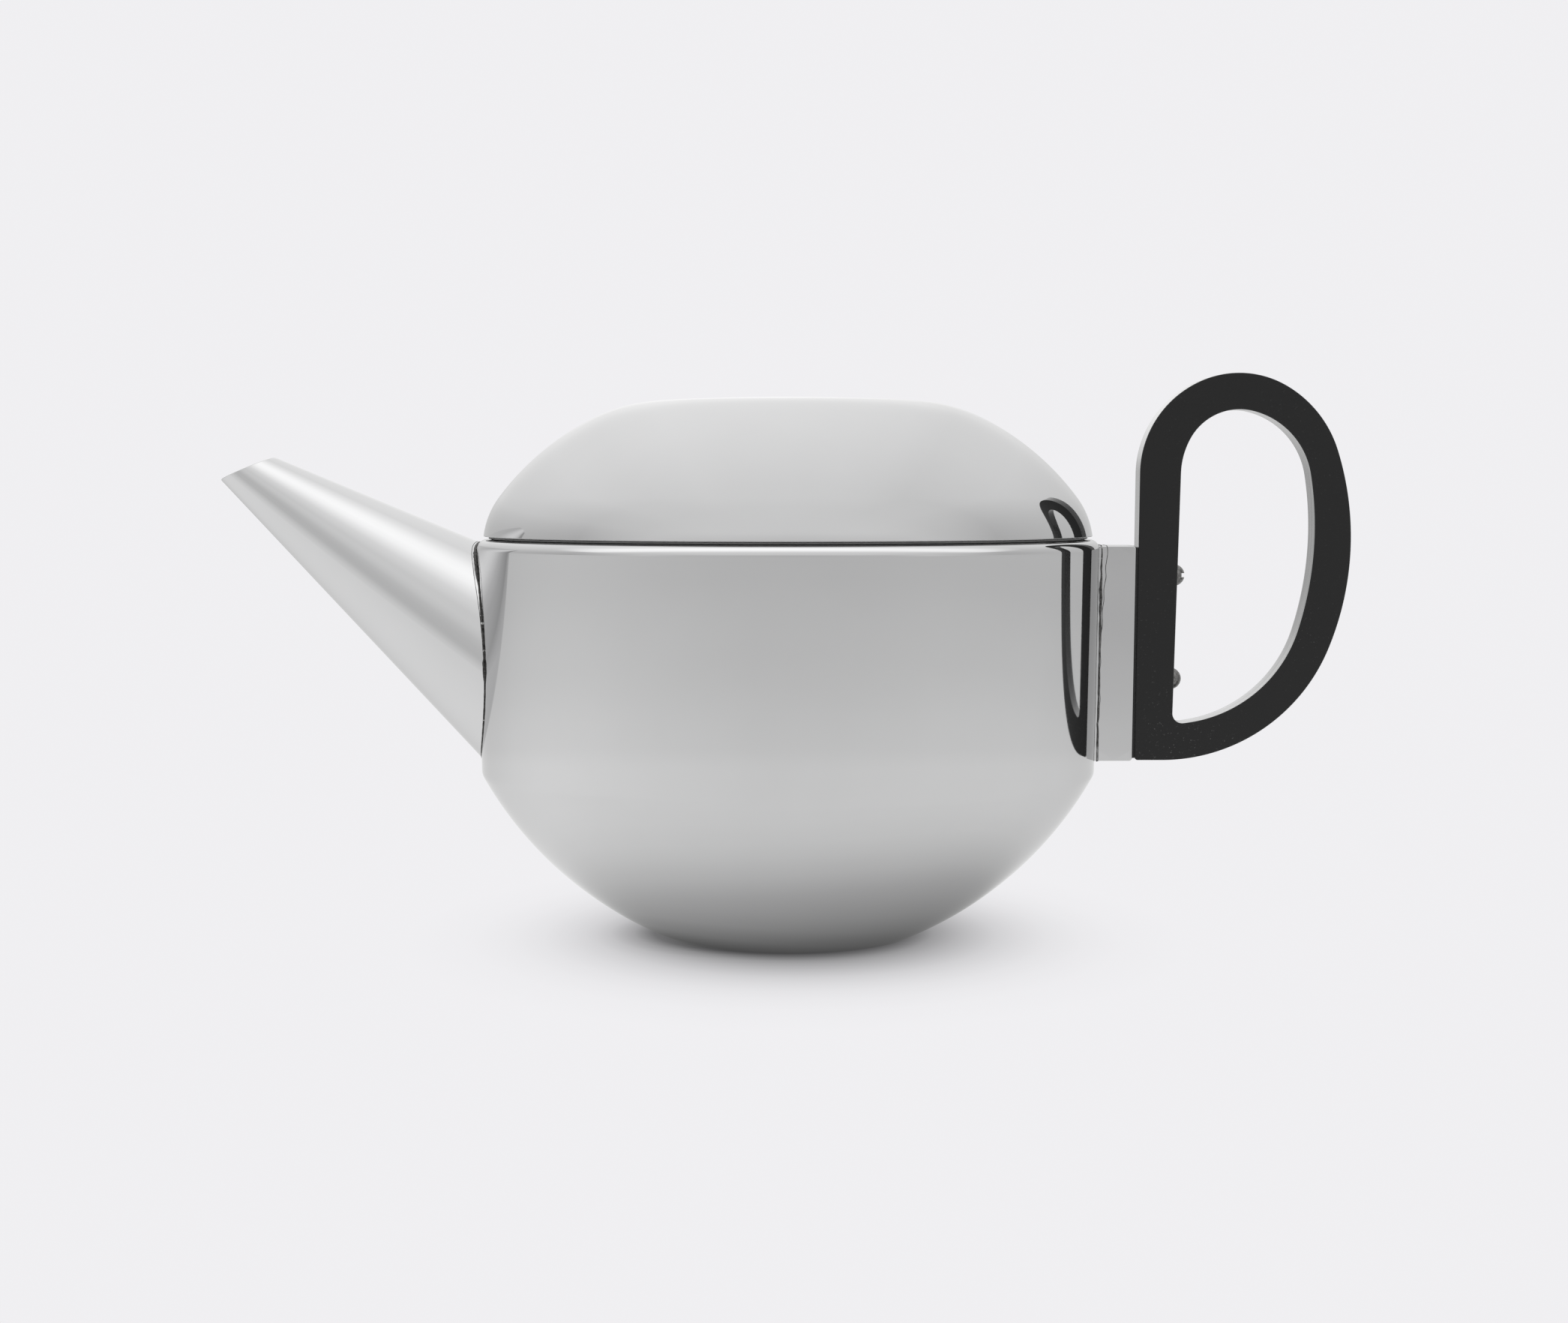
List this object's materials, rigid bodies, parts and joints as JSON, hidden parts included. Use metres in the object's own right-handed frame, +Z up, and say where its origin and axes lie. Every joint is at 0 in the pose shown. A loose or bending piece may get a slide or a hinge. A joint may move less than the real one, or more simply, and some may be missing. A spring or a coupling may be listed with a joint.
{
  "type": "teapot",
  "caption": "Polished steel teapot with a bowl-bottomed body, straight conical spout, flush domed lift-off lid and a black D-shaped side handle.",
  "frame": {"origin": "centre of the foot, on the vessel's axis, at the surface that the teapot stands on", "axes": "+Z up along the vessel's axis, +X towards the handle and -X towards the spout, +Y to the far side"},
  "size_m": [0.2759, 0.1516, 0.1375],
  "materials": {
    "body_steel": "mirror-polished stainless steel with faint spun and wiping marks",
    "spout_steel": "mirror-polished stainless steel, drawn along its length",
    "bracket_steel": "polished stainless steel block with softened edges",
    "lid_steel": "mirror-polished stainless steel",
    "lid_inner_steel": "turned stainless steel",
    "strainer_steel": "punched and brushed stainless steel",
    "braze": "dark uneven brazed bead",
    "screw_steel": "dulled steel screw heads",
    "handle_black": "satin black, lightly worn at the edges",
    "pad_rubber": "black insulating pad",
    "seal_silicone": "grey silicone"
  },
  "bodies": {
    "pot": {"body_shell": "body_steel", "neck_ring": "body_steel", "spout": "spout_steel", "spout_seam": "braze", "strainer": "strainer_steel", "handle_bracket": "bracket_steel", "bracket_seam": "braze", "heat_pad": "pad_rubber", "handle": "handle_black", "handle_screws": "screw_steel"},
    "seal_ring": {"lid_seal": "seal_silicone"},
    "lid": {"lid_shell": "lid_steel", "lid_collar": "lid_inner_steel"}
  },
  "joints": [
    {"name": "lid_lift", "type": "slide", "parent": "pot", "child": "seal_ring", "axis": [0, 0, 1], "range_m": [0, 0.06]},
    {"name": "lid_turn", "type": "hinge", "parent": "seal_ring", "child": "lid", "pos_m": [0, 0, 0.1], "axis": [0, 0, 1], "continuous": true}
  ]
}
